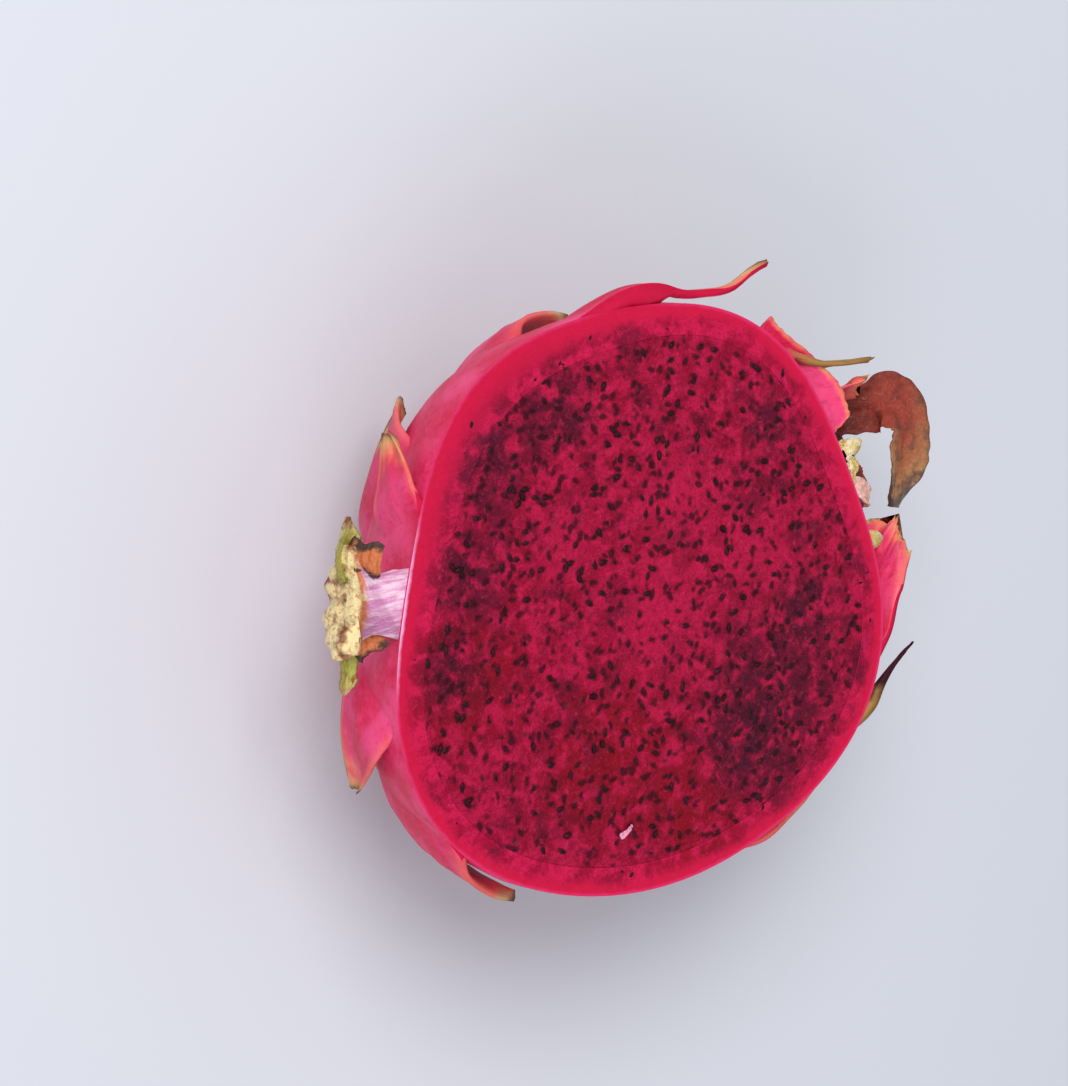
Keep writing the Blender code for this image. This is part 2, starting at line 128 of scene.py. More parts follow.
# %% A floor, a soft sky and two lamps
def srgb(code):
    """A colour written as six hex digits, turned into the linear numbers that Blender wants."""
    parts = [int(code[i : i + 2], 16) / 255 for i in (0, 2, 4)]
    return tuple(c / 12.92 if c <= 0.04045 else ((c + 0.055) / 1.055) ** 2.4 for c in parts)


FLOOR_COLOUR = srgb("C3C6CE")
FLOOR_SIZE = 6.0
LAMPS = (
    ("key", (-0.35, 0.55, 0.80), 0.55, 7.0, (1.0, 0.985, 0.96)),
    ("fill", (-0.55, -0.60, 0.55), 0.60, 2.6, (0.97, 0.98, 1.0)),
)
LAMP_DISTANCE = 0.9
SKY_COLOUR = (0.93, 0.95, 1.0)
SKY_STRENGTH = 0.62


def make_stage():
    scene = bpy.context.scene
    scene.view_settings.view_transform = "Standard"
    world = bpy.data.worlds.new("soft_sky")
    scene.world = world
    world.use_nodes = True
    sky = world.node_tree.nodes["Background"]
    sky.inputs["Color"].default_value = (*SKY_COLOUR, 1)
    sky.inputs["Strength"].default_value = SKY_STRENGTH
    bm = bmesh.new()
    bmesh.ops.create_grid(bm, x_segments=1, y_segments=1, size=FLOOR_SIZE / 2)
    mesh = bpy.data.meshes.new("floor")
    bm.to_mesh(mesh)
    bm.free()
    floor = add("floor", mesh)
    finish = bpy.data.materials.new("floor_grey")
    finish.use_nodes = True
    shader = finish.node_tree.nodes["Principled BSDF"]
    shader.inputs["Base Color"].default_value = (*FLOOR_COLOUR, 1)
    shader.inputs["Roughness"].default_value = 0.9
    shader.inputs["Specular IOR Level"].default_value = 0.1
    mesh.materials.append(finish)
    floor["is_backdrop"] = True
    for name, way, size, power, colour in LAMPS:
        data = bpy.data.lights.new(name, "AREA")
        data.shape = "DISK"
        data.size = size
        data.energy = power
        data.color = colour
        lamp = add(name, data)
        toward = Vector(way).normalized()
        lamp.location = AIM_POINT + toward * LAMP_DISTANCE
        lamp.rotation_euler = toward.to_track_quat("Z", "Y").to_euler()


make_stage()
print("floor and", len(LAMPS), "lamps")

# %% [markdown]
# ## Writing shader maths as Python
# A material is a graph of nodes, and long graphs are hard to read when each node and link is
# made by hand. The small class below wraps one socket. Adding or multiplying two of them
# makes the Math node, so a mask reads like a formula. Every other node comes from one method.
# The scale of a noise is per metre, so 1000 gives grains about a millimetre across.


# %% One class for sockets
class Wire:
    """An output socket that maths can be written with."""

    def __init__(self, tree, socket=None):
        self.tree = tree
        self.socket = socket

    def node(self, kind, settings=None, sockets=None, output=0):
        """Adds a node, sets it up, then fills or links its sockets."""
        made = self.tree.nodes.new(kind)
        for name, value in (settings or {}).items():
            setattr(made, name, value)
        for key, value in (sockets or {}).items():
            feed(made, key, value)
        return Wire(self.tree, made.outputs[output])

    def math(self, operation, *values):
        return self.node("ShaderNodeMath", {"operation": operation}, dict(enumerate(values)))

    def __add__(self, other):
        return self.math("ADD", self, other)

    __radd__ = __add__

    def __sub__(self, other):
        return self.math("SUBTRACT", self, other)

    def __rsub__(self, other):
        return self.math("SUBTRACT", other, self)

    def __mul__(self, other):
        return self.math("MULTIPLY", self, other)

    __rmul__ = __mul__

    def __truediv__(self, other):
        return self.math("DIVIDE", self, other)

    def ramp(self, low, high):
        """0 below low, 1 above high, and smooth between."""
        sockets = {"Value": self, "From Min": low, "From Max": high}
        return self.node("ShaderNodeMapRange", {"interpolation_type": "SMOOTHSTEP"}, sockets)

    def paint(self, first, second):
        """The first colour where this is 0 and the second where it is 1."""
        low, high = [(*c, 1) if isinstance(c, tuple) else c for c in (first, second)]
        return self.node("ShaderNodeMix", {"data_type": "RGBA"}, {0: self, 6: low, 7: high}, output=2)

    def stretched(self, x, y, z):
        """This place in space, scaled along each axis."""
        return self.node("ShaderNodeVectorMath", {"operation": "MULTIPLY"}, {0: self, 1: (x, y, z)})

    def noise(self, scale, detail=3.0, roughness=0.55, warp=0.0):
        grain = {"Scale": scale, "Detail": detail, "Roughness": roughness, "Distortion": warp}
        return self.node("ShaderNodeTexNoise", {}, {"Vector": self, **grain})

    def cells(self, scale):
        """How far a point is from the middle of its cell, in a packing of uneven cells."""
        return self.node("ShaderNodeTexVoronoi", {}, {"Vector": self, "Scale": scale})


def new_material(name):
    """An empty material: its tree as a Wire to build with, and its shader."""
    made = bpy.data.materials.new(name)
    made.use_nodes = True
    tree = made.node_tree
    return made, Wire(tree), tree.nodes["Principled BSDF"]


def feed(node, name, value):
    """Links a Wire to one of the node's sockets, or puts a plain value into it."""
    if isinstance(value, Wire):
        value.tree.links.new(value.socket, node.inputs[name])
    else:
        node.inputs[name].default_value = value


def place_of(start):
    """Where a point is on the object, in metres."""
    return start.node("ShaderNodeTexCoord", output="Object")


def mark(start, name):
    """A number that the mesh carries at each point."""
    return start.node("ShaderNodeAttribute", {"attribute_name": name}, output="Fac")


def bump(height, distance, strength):
    """Shades the surface as if it rose by this distance, in metres, where the height is 1."""
    sockets = {"Height": height, "Distance": distance, "Strength": strength}
    return height.node("ShaderNodeBump", {}, sockets)


print("socket class ready")

# %% [markdown]
# ## The shape of the fruit
# The solids were made with one formula for the skin: a sphere whose radius swells and dips in
# a few slow waves, flattened a little underneath. We use the same formula with many more
# points. A place on the skin is given by how far along it is, from stem to flower, and by the
# angle round the fruit, with straight down as zero and the knife at 90 degrees either way.

# %% The skin formula
MEAN_RADIUS = 46.4 * MM
DEPTH = 44.5 * MM
AXIS_SHIFT = 0.18
OUTLINE_WAVES = (
    (1, 0.000, -0.024),
    (2, 0.009, 0.012),
    (3, 0.003, -0.034),
    (4, -0.021, 0.000),
    (5, 0.000, -0.018),
)
WALL = 4.4 * MM
WALL_SWELL = 2.8 * MM
WALL_SWELL_ANGLE = math.radians(128)
WALL_SWELL_TIGHTNESS = 4


def smoothstep(value):
    held = min(max(value, 0), 1)
    return held * held * (3 - 2 * held)


def ring_point(turn, radius=1, height=0):
    """A point on a level ring about the z axis."""
    return Vector((math.cos(turn) * radius, math.sin(turn) * radius, height))


def lean(direction):
    """Bends the long axis, because the stem and the flower both sit off the middle."""
    return (direction + Vector((0, AXIS_SHIFT * direction.x**2, 0))).normalized()


def skin_direction(along, around):
    turn = math.pi * along
    side = math.radians(around)
    ring = math.sin(turn)
    return lean(Vector((-math.cos(turn), ring * math.sin(side), -ring * math.cos(side))))


def surface(direction, inset=0.0):
    """The point of the skin this way from the middle, or one this far in from it."""
    turn = math.atan2(direction.y, direction.x)
    level = math.hypot(direction.x, direction.y)
    share = 1
    for count, cosine, sine in OUTLINE_WAVES:
        wave = cosine * math.cos(count * turn) + sine * math.sin(count * turn)
        share += wave * level**count
    radius = MEAN_RADIUS * share - inset
    depth_share = (DEPTH - inset) / (MEAN_RADIUS - inset)
    return Vector((radius * direction.x, radius * direction.y, FACE + radius * direction.z * depth_share))


def wall_thickness(direction):
    off = math.atan2(direction.y, direction.x) - WALL_SWELL_ANGLE
    level = math.hypot(direction.x, direction.y)
    return WALL + WALL_SWELL * level**2 * math.exp(WALL_SWELL_TIGHTNESS * (math.cos(off) - 1))


def roughly(point, size, seed=0.0):
    """Smooth noise from about -1 to 1, with bumps of this size."""
    return noise.noise(point / size + Vector((seed, seed * 1.7, seed * 0.3)))


end_to_end = surface(Vector((1, 0, 0))) - surface(Vector((-1, 0, 0)))
print("the face is", round(end_to_end.length / MM, 1), "mm long")

# %% [markdown]
# ## From points to pieces
# Every piece here is a loft: rows of points joined into a skin of four-sided faces. Each point
# also carries a few named numbers, such as how near it is to a bract's tip, which the
# materials read later. That keeps colour tied to the growth of the fruit and not to the view.


# %% Helpers that make, cut and place a mesh
WELD_DISTANCE = 0.001 * MM


def loft(rows):
    """A bmesh through rows of (point, marks). Each row joins its end to its start."""
    bm = bmesh.new()
    layers = [(name, bm.verts.layers.float.new(name)) for name in sorted(rows[0][0][1])]
    grid = []
    for row in rows:
        verts = []
        for point, marks in row:
            vert = bm.verts.new(point)
            for name, layer in layers:
                vert[layer] = marks[name]
            verts.append(vert)
        grid.append(verts)
    for lower, upper in zip(grid, grid[1:]):
        for here in range(len(lower)):
            beside = (here + 1) % len(lower)
            bm.faces.new((lower[here], lower[beside], upper[beside], upper[here]))
    return bm


def close_holes(bm):
    open_edges = [edge for edge in bm.edges if edge.is_boundary]
    if open_edges:
        bmesh.ops.holes_fill(bm, edges=open_edges, sides=0)


def tidy(bm):
    """Welds doubled points, closes the ends and turns the faces out."""
    bmesh.ops.remove_doubles(bm, verts=bm.verts, dist=WELD_DISTANCE)
    close_holes(bm)
    bmesh.ops.recalc_face_normals(bm, faces=bm.faces)


def knife_cut(bm, height):
    """Takes off what stands above this height and closes the cut."""
    knife = {"plane_co": (0, 0, height), "plane_no": (0, 0, 1), "clear_outer": True}
    bmesh.ops.bisect_plane(bm, geom=bm.verts[:] + bm.edges[:] + bm.faces[:], **knife)
    close_holes(bm)


def press_on_table(bm):
    for vert in bm.verts:
        vert.co.z = max(vert.co.z, 0)


def smooth_path(points, share):
    """A point on the smooth curve through the points."""
    spans = len(points) - 1
    span = min(int(share * spans), spans - 1)
    t = share * spans - span
    before = points[max(span - 1, 0)]
    start = points[span]
    end = points[span + 1]
    after = points[min(span + 2, spans)]
    bend = (2 * before - 5 * start + 4 * end - after) * t * t
    return 0.5 * (2 * start + (end - before) * t + bend + (3 * start - before - 3 * end + after) * t**3)


def piece(name, bm, finish, node, slot):
    """Makes the object, gives it its finish, and hides the solid that it stands for."""
    mesh = bpy.data.meshes.new(name)
    bm.to_mesh(mesh)
    bm.free()
    mesh.shade_smooth()
    mesh.materials.append(finish)
    obj = add(name, mesh)
    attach(obj, "root")
    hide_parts(node)
    print(name, "has", len(mesh.polygons), "faces")


# %% [markdown]
# ## The flesh colour
# Peel and pulp meet without a line: the peel's crimson deepens into the pulp over a
# millimetre or two. Both pieces therefore share one colour rule. It reads how deep a point
# lies: "inset" is the distance in from the skin and "into" is the distance past the inner side
# of the peel, both in centimetres. The pulp is patchy, purple at two sides, blood red low down
# and brighter near the middle, so a few soft spots are named and mixed in.

# %% One rule for the cut flesh
EDGE_LINE = srgb("C62C5E")
EDGE_LILAC = srgb("DDA6D2")
BAND_OUTER = srgb("B8123A")
BAND_INNER = srgb("9C1036")
BAND_LIGHT = srgb("C4234E")
PULP_RED = srgb("92082E")
PULP_DARK = srgb("560B24")
PULP_BLOOD = srgb("860818")
PULP_PURPLE = srgb("3E1026")
PULP_BRIGHT = srgb("BA1544")
FIBRE_LIGHT = srgb("C42C58")
FLESH_SPECULAR = 0.08
# Places on the face in mm from its middle: the stem end, the root of the sliced bract and then
# the soft spots of the pulp, each with its radius
STEM_END = (-46, 8)
SLICED_ROOT = (2, 44)
SPOT_COLOURS = {"purple": PULP_PURPLE, "bright": PULP_BRIGHT, "blood": PULP_BLOOD}
FACE_SPOTS = (
    ("blood", (-10, -24), 20), ("blood", (-34, -6), 15), ("blood", (4, -36), 14),
    ("purple", (-27, 27), 14), ("purple", (-12, 31), 10), ("purple", (-32, 10), 10),
    ("purple", (-37, -4), 9), ("purple", (22, -20), 21), ("purple", (16, -27), 13),
    ("purple", (31, -8), 11), ("purple", (27, 22), 8), ("bright", (9, 14), 12),
    ("bright", (22, 3), 10), ("bright", (2, -4), 13), ("bright", (-14, 12), 9),
)


def spot(place, centre, radius):
    """1 at the centre of a soft round spot on the cut face, 0 at its edge."""
    middle = (centre[0] * MM, centre[1] * MM, FACE)
    settings = {"operation": "DISTANCE"}
    away = place.node("ShaderNodeVectorMath", settings, {0: place, 1: middle}, output="Value")
    return 1 - (away / (radius * MM)).ramp(0.15, 1.0)


def scatter(shader, weight=0.08, radius=(0.003, 0.0005, 0.0008), scale=0.4):
    """A little light passes into the flesh and comes out red."""
    feed(shader, "Subsurface Weight", weight)
    feed(shader, "Subsurface Radius", radius)
    feed(shader, "Subsurface Scale", scale)


def flesh_colour(start):
    place = place_of(start)
    inset = mark(start, "inset")
    into = mark(start, "into")
    drift = (place.noise(260, 3) - 0.5) * 0.30 + (place.noise(1100, 2) - 0.5) * 0.16
    fibres = place.noise(1500, 4, 0.7, 1.2)
    grain = place.noise(3400, 2, 0.6, 0.6)
    band = (inset + (place.noise(500, 2) - 0.5) * 0.2).ramp(0.10, 0.55).paint(BAND_OUTER, BAND_INNER)
    band = (fibres.ramp(0.50, 0.72) * 0.40).paint(band, BAND_LIGHT)
    line = spot(place, STEM_END, 17).paint(EDGE_LINE, EDGE_LILAC)
    shown = 1 - (inset + (place.noise(700, 2) - 0.5) * 0.05).ramp(0.0, 0.07)
    band = (shown * (1 - spot(place, SLICED_ROOT, 12))).paint(band, line)
    patches = place.noise(300, 4, 0.62, 0.5)
    pulp = patches.ramp(0.40, 0.60).paint(PULP_BRIGHT, PULP_RED)
    pulp = (place.noise(170, 3, 0.6).ramp(0.50, 0.66) * 0.7).paint(pulp, PULP_DARK)
    for kind, centre, radius in FACE_SPOTS:
        near = spot(place, centre, radius) * 0.8 * patches.ramp(0.30, 0.58)
        pulp = near.paint(pulp, SPOT_COLOURS[kind])
    pulp = (fibres.ramp(0.54, 0.70) * 0.45).paint(pulp, FIBRE_LIGHT)
    pulp = ((1 - fibres.ramp(0.34, 0.48)) * 0.5).paint(pulp, PULP_DARK)
    pulp = (grain.ramp(0.52, 0.70) * 0.35).paint(pulp, PULP_DARK)
    return (into + drift).ramp(-0.38, -0.14).paint(band, pulp)


print(len(FACE_SPOTS), "soft spots on the face")

# %% [markdown]
# ## The finish of the rind
# The skin is waxy and hot pink, with fine streaks that run from stem to flower. Each bract
# is paler and more orange along its edge, and dries through tan to brown at its tip. Two bracts
# dried whole, and go from olive toward black. The peel also shows the cut band, so the material
# picks the flesh colour wherever a face lies in the plane of the knife.

# %% Rind material
SKIN_PINK = srgb("C61444")
SKIN_LIGHT = srgb("DE4477")
SKIN_DEEP = srgb("8A0629")
BRACT_ORANGE = srgb("E8785F")
BRACT_TAN = srgb("C79A6A")
BRACT_OLIVE = srgb("9A7440")
BRACT_BROWN = srgb("5A3A22")
BRACT_BLACK = srgb("341018")
CUT_DEPTH = 0.45 * MM


def rind_material():
    made, start, shader = new_material("rind_skin")
    place = place_of(start)
    tip, side, dry = [mark(start, name) for name in ("tip", "side", "dry")]
    streaks = place.stretched(0.16, 1, 1).noise(1100, 4, 0.6, 0.5)
    clouds = place.noise(85, 3, 0.55)
    skin = clouds.ramp(0.36, 0.68).paint(SKIN_PINK, SKIN_LIGHT)
    skin = (streaks.ramp(0.50, 0.75) * 0.45).paint(skin, SKIN_LIGHT)
    skin = ((1 - streaks.ramp(0.25, 0.48)) * 0.40).paint(skin, SKIN_DEEP)
    edge = side.ramp(0.72, 1.0) * tip.ramp(0.15, 0.5)
    skin = (edge * 0.55).paint(skin, BRACT_ORANGE)
    ragged = (place.noise(420, 3) - 0.5) * 0.35
    skin = ((tip + ragged + edge * 0.08).ramp(0.62, 0.92) * 0.8).paint(skin, BRACT_ORANGE)
    skin = (tip + ragged + edge * 0.1).ramp(0.80, 1.0).paint(skin, BRACT_TAN)
    skin = (tip + ragged * 0.5 + edge * 0.04).ramp(0.93, 1.04).paint(skin, BRACT_BROWN)
    dried = (tip + ragged * 0.6).ramp(0.34, 0.62).paint(BRACT_OLIVE, BRACT_BLACK)
    skin = (dry * (tip + ragged * 0.5).ramp(0.08, 0.26)).paint(skin, dried)
    height = place.node("ShaderNodeSeparateXYZ", {}, {0: place}, output="Z")
    facing = start.node("ShaderNodeNewGeometry", output="True Normal")
    upright = start.node("ShaderNodeSeparateXYZ", {}, {0: facing}, output="Z")
    on_cut = height.math("GREATER_THAN", height, FACE - CUT_DEPTH) * upright.ramp(0.7, 0.85)
    colour = (on_cut * (1 - dry)).paint(skin, flesh_colour(start))
    fine = place.noise(3200, 2, 0.5)
    feed(shader, "Base Color", colour)
    feed(shader, "Roughness", 0.55 + (clouds - 0.5) * 0.1 + tip.ramp(0.75, 1.0) * 0.2)
    feed(shader, "Coat Weight", 0.16 * (1 - on_cut))
    feed(shader, "Coat Roughness", 0.28)
    feed(shader, "Specular IOR Level", FLESH_SPECULAR)
    scatter(shader)
    relief = streaks * 0.6 + fine * 0.25 + place.stretched(0.3, 1, 1).noise(420, 3) * 0.9
    feed(shader, "Normal", bump(relief, 0.00035, 0.55))
    return made


rind_finish = rind_material()
print("rind material has", len(rind_finish.node_tree.nodes), "nodes")

# %% [markdown]
# ## The peel
# The peel is a bowl with a thick wall. Its section is a C-shaped loop, and the loop is lofted
# from the stem to the flower: over the outside, across the cut band, back along the inside
# and across the other cut band. Building it this way puts a clean row of points on both edges
# of the band, where a Boolean cut would leave ragged ones. Slow swells are added to the
# outside so that it isn't a smooth ball, and it is pressed flat where it touches the table.

# %% Loft the peel
ALONG_STEPS = 190
OUTER_STEPS = 130
BAND_STEPS = 12
INNER_STEPS = 24
BAND_RELIEF = 0.10 * MM
BAND_SAG = 0.12 * MM
BAND_RELIEF_SIZE = 2.2 * MM
# Two waves on the outside: the size of their bumps and their height in mm
SWELL_SIZE, SWELL_HEIGHT = 16 * MM, 0.35
FOLD_SIZE, FOLD_HEIGHT = 3.2 * MM, 0.14
SWELL_FADE = 2.5 * MM
RIM_ANGLE = math.radians(50)
CM = 10 * MM


def rind_marks(inset, into, tip=0.0, side=0.0, dry=0.0):
    """The numbers that the rind material reads. A bract has the last three as well."""
    return {"inset": inset, "into": into, "tip": tip, "side": side, "dry": dry}


def skin_swell(point):
    slow = roughly(point, SWELL_SIZE, 3.1) * SWELL_HEIGHT
    folds = roughly(Vector((point.x * 0.35, point.y, point.z)), FOLD_SIZE, 7.7) * FOLD_HEIGHT
    return (slow + folds) * MM


def peel_loop(along):
    row = []
    for k in range(OUTER_STEPS + 1):
        direction = skin_direction(along, -90 + 180 * k / OUTER_STEPS)
        point = surface(direction)
        below_knife = smoothstep((FACE - point.z) / SWELL_FADE)
        point = point + direction * skin_swell(point) * below_knife
        row.append((point, rind_marks(0.0, -0.4)))
    for side in (90, -90):
        direction = skin_direction(along, side)
        wall = wall_thickness(direction)
        for k in range(1, BAND_STEPS):
            share = k / BAND_STEPS if side > 0 else 1 - k / BAND_STEPS
            inset = wall * share
            point = surface(direction, inset)
            middle = math.sin(math.pi * share)
            wave = roughly(point, BAND_RELIEF_SIZE, 5.0) * BAND_RELIEF * middle
            point.z += wave - BAND_SAG * middle
            row.append((point, rind_marks(inset / CM, (inset - wall) / CM)))
        if side > 0:
            for k in range(INNER_STEPS + 1):
                inward = skin_direction(along, 90 - 180 * k / INNER_STEPS)
                inset = wall_thickness(inward)
                row.append((surface(inward, inset), rind_marks(inset / CM, 0.0)))
    return row


def make_peel():
    bm = loft([peel_loop(k / ALONG_STEPS) for k in range(ALONG_STEPS + 1)])
    tidy(bm)
    press_on_table(bm)
    for edge in bm.edges:
        edge.smooth = edge.calc_face_angle(0) < RIM_ANGLE
    piece("peel", bm, rind_finish, "rind", "rind")


make_peel()

# %% [markdown]
# ## The bracts
# A bract is a leafy scale. Its root swells out of the peel so gently that no edge shows
# there, and its sides and tip come free. One rule places each point of the sheet by its share
# along the bract and its share across it, exactly as the solids do, and then adds what is too
# fine for them: a midrib, rolled edges, small ripples and a torn tip. The bracts that the
# knife met end just under the face, so that the cut band of the peel covers their roots.

# %% Bract sizes and places
BRACT_MOUND = 2.2 * MM
BRACT_ROOT_DEPTH = 0.8 * MM
BRACT_ROOT_THICKNESS = 3.8 * MM
BRACT_TIP_THICKNESS = 0.9 * MM
BRACT_FREE_FROM = 0.36
BRACT_THIN_FROM = 0.30
BRACT_THIN_SHARE = 0.12
BRACT_MIDRIB = 0.22 * MM
BRACT_FOLD = 0.22 * MM
BRACT_WAVE = 0.5 * MM
BRACT_ROLL = 0.55 * MM
# The share of its width that a whole bract has at its tip, and the share that means a torn one
WHOLE_TIP_SHARE = 0.10
TORN_TIP_SHARE = 0.4
# How much one bract may differ from the next
BRACT_SHIFT = 0.012
BRACT_SWING = 3
BRACT_SIZES = (0.94, 1.08)
BRACT_LEAN = 0.16
# A bract's rind marks: where the knife cut it, it shows the colour of the band, not of the pulp
BRACT_INSET = 0.12
BRACT_INTO = -0.6
# Along the fruit, length and width and flare in mm, then the angles round it
BRACT_RINGS = (
    (0.090, 17, 17, 2.4, (-58, 8, 66)),
    (0.175, 26, 27, 2.2, (-66, -20, 38)),
    (0.345, 34, 34, 3.0, (-52, 6, 62)),
    (0.520, 32, 33, 3.0, (-68, -20, 36)),
    (0.670, 26, 26, 4.0, (-48, 6, 62)),
    (0.800, 19, 18, 5.0, (-6,)),
)
# Along the fruit, angle round it, length and width and flare in mm, share of the width at the tip
CUT_BRACTS = (
    (0.430, 89, 38.3, 9, 9.0, 0.35),
    (0.752, -90, 15.3, 7, 5.0, 0.30),
    (0.790, 55, 17, 16, 10.0, 0.80),
    (0.785, -70, 24, 18, 8.5, 0.45),
    (0.728, 84, 22, 5, 12.5, 0.35),
)
# How dry a bract is all over and how much its tip has withered, by its place in the list
DRY_BRACTS = {1: (1.0, 1.0), 4: (1.0, 0.45)}
PINK_BRACT = (0.0, 1.0)
BRACT_SEED = 11
BRACT_ROWS = 34
BRACT_COLUMNS = 22
CUT_CLEARANCE = 0.25 * MM
# The first bract was sliced lengthwise: its height over the skin in mm, from root to tip
SLICED_LIFTS = (-0.8, 0.4, 1.8, 3.0, 3.1, 2.0, 2.5, 4.3, 10.0)
SLICED_THIN_FROM = 0.46


def bract_rows():
    draw = random.Random(BRACT_SEED)
    rows = list(CUT_BRACTS)
    for along, length, width, flare, places in BRACT_RINGS:
        for around in places:
            at = along + draw.uniform(-BRACT_SHIFT, BRACT_SHIFT)
            swung = around + draw.uniform(-BRACT_SWING, BRACT_SWING)
            size = draw.uniform(*BRACT_SIZES)
            rows.append((at, swung, length * size, width * size, flare, WHOLE_TIP_SHARE))
    return rows, draw


def bract_mesh(number, row, draw):
    along, around, length, width, flare, tip_share = row
    length, width, flare = length * MM, width * MM, flare * MM
    lean_aside = draw.uniform(-BRACT_LEAN, BRACT_LEAN)
    ripple = draw.uniform(0, 2 * math.pi)
    torn = tip_share > TORN_TIP_SHARE
    dry, withered = DRY_BRACTS.get(number, PINK_BRACT)

    def place(s, across):
        """The top of the sheet at a share s along it and from -1 to 1 across it."""
        ragged = roughly(Vector((s * 6, across * 9, number)), 1.0)
        notch = 0.16 + 0.12 * ragged if torn else 0.03 * abs(ragged)
        held = s * (1 - notch * abs(across) ** 0.5 * s**4)
        at = along + held * length / (math.pi * MEAN_RADIUS)
        half_width = width / 2 * (1 - (1 - tip_share) * s**1.7) * (1 + 0.05 * ragged * s)
        girth = MEAN_RADIUS * max(math.sin(math.pi * min(at, 0.94)), 0.25)
        sideways = across * half_width + lean_aside * width * s * s
        direction = skin_direction(at, around + math.degrees(sideways / girth))
        mound = (BRACT_MOUND + BRACT_ROOT_DEPTH) * smoothstep(s / 0.45)
        tucked = 1 - smoothstep((s - 0.12) / 0.4)
        free = max(0, (s - BRACT_FREE_FROM) / (1 - BRACT_FREE_FROM))
        wave = BRACT_WAVE * math.sin(ripple + 5 * s + 3 * across) * free
        lift = mound * (1 - tucked * across**4) - BRACT_ROOT_DEPTH + flare * free**2 + wave
        if number == 0:
            lift = smooth_path(SLICED_LIFTS, s) * MM
        grown = smoothstep(s / 0.3)
        midrib = BRACT_MIDRIB * math.exp(-((across / 0.16) ** 2)) * grown
        rolled = BRACT_ROLL * abs(across) ** 6 * free
        fold = BRACT_FOLD * roughly(Vector((s * 3, across * 7, number * 3.3)), 1.0) * grown
        return surface(direction) + direction * (lift + midrib * (1 - free) + rolled + fold), direction

    def thickness(s, across):
        thin_from = BRACT_THIN_FROM if number else SLICED_THIN_FROM
        thin = smoothstep((s - thin_from) / BRACT_THIN_SHARE)
        root = BRACT_ROOT_THICKNESS * (1 - 0.4 * abs(across) ** 3)
        tip = BRACT_TIP_THICKNESS * (2.1 - 1.1 * s) * (1 - 0.45 * across**4)
        return root * (1 - thin) + tip * thin

    loops = []
    for r in range(BRACT_ROWS + 1):
        s = r / BRACT_ROWS
        top = []
        under = []
        for c in range(BRACT_COLUMNS + 1):
            across = 2 * c / BRACT_COLUMNS - 1
            point, direction = place(s, across)
            reached = 0.55 * s + 0.36 * s**8 if torn else s * withered
            marks = rind_marks(BRACT_INSET, BRACT_INTO, reached, abs(across), dry)
            top.append((point, marks))
            under.append((point - direction * thickness(s, across), marks))
        loops.append(top + under[::-1])
    return loft(loops)


def gather(name, meshes, height, finish, node, slot):
    """Joins several small meshes into one piece, each cut level at this height."""
    whole = bmesh.new()
    for bm in meshes:
        tidy(bm)
        knife_cut(bm, height)
        press_on_table(bm)
        scratch = bpy.data.meshes.new("scratch")
        bm.to_mesh(scratch)
        bm.free()
        whole.from_mesh(scratch)
        bpy.data.meshes.remove(scratch)
    piece(name, whole, finish, node, slot)


def make_bracts():
    rows, draw = bract_rows()
    meshes = [bract_mesh(number, row, draw) for number, row in enumerate(rows)]
    print(len(rows), "bracts")
    gather("bracts", meshes, FACE - CUT_CLEARANCE, rind_finish, "rind", "rind")


make_bracts()

# %% [markdown]
# ## The pulp
# Cut pulp is wet and fibrous. A flat disc would look like plastic, so the face is a fine
# polar grid whose points rise and sink by about a tenth of a millimetre, in fine tears and in
# slower swells. Under it the pulp is a plain dome that fills the peel. Seeds sit in small
# pits, so we choose their places first, and let the grid sink a little at each of them.

# %% Scatter the seeds
SEED_COUNT = 1350
SHOWN_SHARE = 0.62
CLUSTER_SIZE = 4.5 * MM
CLUSTER_CUT = -0.22
SEED_SEED = 21
SEED_EDGE = 0.97
SEED_WALL_SHARE = 0.6
SEED_SHIFT = 2.0 * MM
SEED_LENGTH = (0.85 * MM, 2.0 * MM)
GOLDEN_ANGLE = math.pi * (3 - math.sqrt(5))


def seed_places():
    """The sunflower rule spreads the seeds evenly, and each is then moved a little at random."""
    draw = random.Random(SEED_SEED)
    places = []
    for count in range(SEED_COUNT):
        share = SEED_EDGE * math.sqrt((count + 0.5) / SEED_COUNT)
        direction = ring_point(count * GOLDEN_ANGLE)
        edge = surface(direction, SEED_WALL_SHARE * wall_thickness(direction))
        shift = [draw.uniform(-SEED_SHIFT, SEED_SHIFT) for _ in range(2)]
        point = Vector((edge.x * share, edge.y * share, FACE)) + Vector((*shift, 0))
        places.append((point, draw.uniform(0, math.pi), draw.uniform(*SEED_LENGTH), draw.random()))
    return places


seeds = seed_places()
seed_spacing = math.sqrt(math.pi * (MEAN_RADIUS - WALL) ** 2 / len(seeds))
print(len(seeds), "seeds, about", round(seed_spacing / MM, 1), "mm apart")

# %% Grow the pulp's face and its dome
FACE_RINGS = 170
FACE_SPOKES = 470
DOME_RINGS = 30
# The rings crowd toward the edge when this is under 1
RING_SPREAD = 0.8
PULP_RELIEF = 0.16 * MM
PULP_SUNK = 0.05 * MM
TEAR_SIZE = 1.1 * MM
FIBRE_SIZE = 0.5 * MM
PULP_SWELL_SIZE = 6 * MM
RELIEF_FADE = 0.8 * MM
DOME_GAP = 0.3 * MM
SHADE_LENGTH = 1.05 * MM
SHADE_WIDTH = 0.60 * MM


def seed_finder():
    tree = KDTree(len(seeds))
    for index, (point, _, _, _) in enumerate(seeds):
        tree.insert(point, index)
    tree.balance()
    return tree


finder = seed_finder()


